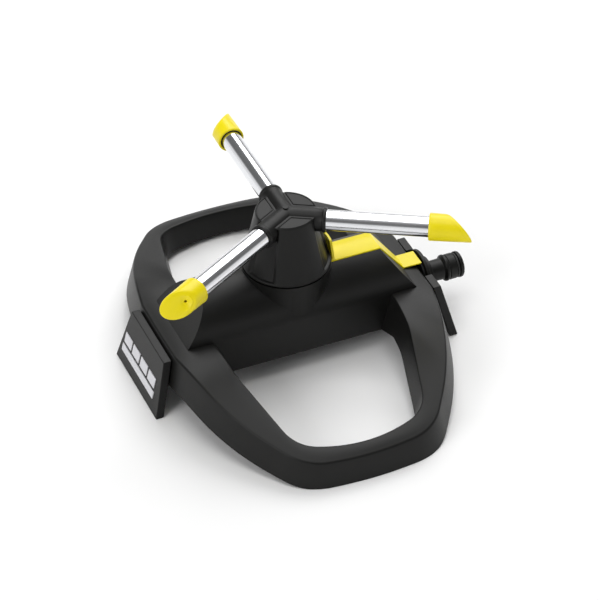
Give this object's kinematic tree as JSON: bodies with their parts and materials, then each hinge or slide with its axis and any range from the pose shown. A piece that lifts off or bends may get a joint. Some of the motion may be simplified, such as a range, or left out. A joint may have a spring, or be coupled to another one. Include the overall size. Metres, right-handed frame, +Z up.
{
  "type": "rotating lawn sprinkler",
  "caption": "Arched ring base with a half-round water housing, a conical rotor hub with radial metal spray tubes, slant-cut nozzle caps and a push-on hose connector.",
  "frame": {"origin": "middle of the footprint at floor level, below the hub", "axes": "+X toward the hose connector, +Z up along the rotor axis, +Y to the rear ring opening"},
  "size_m": [0.2212, 0.2702, 0.1083],
  "materials": {
    "black_plastic": "fine satin texture from the mould",
    "yellow_plastic": "semi-gloss moulding",
    "tube_metal": "polished, drawn tube",
    "steel": "turned stainless steel",
    "seal_rubber": "matt",
    "bearing_plastic": "natural acetal",
    "white_mark": "pad-printed raised mark"
  },
  "bodies": {
    "base": {"base_frame": "black_plastic", "bar_housing": "black_plastic", "underside_cover": "black_plastic", "cover_screws": "steel", "end_plate_left": "black_plastic", "end_plate_right": "black_plastic", "plate_screws": "steel", "badge": "white_mark", "trim_strip": "yellow_plastic", "feed_pipe": "black_plastic", "feed_elbow": "black_plastic", "elbow_seal": "seal_rubber", "inlet_collar": "black_plastic", "inlet_gasket": "seal_rubber", "hose_nipple": "black_plastic", "nipple_oring": "seal_rubber", "spindle": "steel", "spindle_seal": "seal_rubber", "thrust_washer": "bearing_plastic", "retaining_clip": "steel"},
    "rotor": {"rotor_bush": "bearing_plastic", "hub_shell": "black_plastic", "arm_manifold": "black_plastic", "centre_plug": "black_plastic", "tube_a": "tube_metal", "tube_b": "tube_metal", "tube_c": "tube_metal"},
    "nozzle_a": {"nozzle_cap_a": "yellow_plastic", "cap_oring_a": "seal_rubber"},
    "nozzle_b": {"nozzle_cap_b": "yellow_plastic", "cap_oring_b": "seal_rubber"},
    "nozzle_c": {"nozzle_cap_c": "yellow_plastic", "cap_oring_c": "seal_rubber"}
  },
  "joints": [
    {"name": "rotor_spin", "type": "hinge", "parent": "base", "child": "rotor", "pos_m": [-0.00855, 0, 0.08], "axis": [0, 0, 1], "continuous": true},
    {"name": "nozzle_a_turn", "type": "hinge", "parent": "rotor", "child": "nozzle_a", "pos_m": [0.07372, -0.0475, 0.0998], "axis": [0.866, -0.5, 0], "range_deg": [-40, 33]},
    {"name": "nozzle_b_turn", "type": "hinge", "parent": "rotor", "child": "nozzle_b", "pos_m": [-0.00855, 0.095, 0.0998], "axis": [0, 1, 0], "range_deg": [-40, 33]},
    {"name": "nozzle_c_turn", "type": "hinge", "parent": "rotor", "child": "nozzle_c", "pos_m": [-0.09082, -0.0475, 0.0998], "axis": [-0.866, -0.5, 0], "range_deg": [-40, 33]}
  ]
}
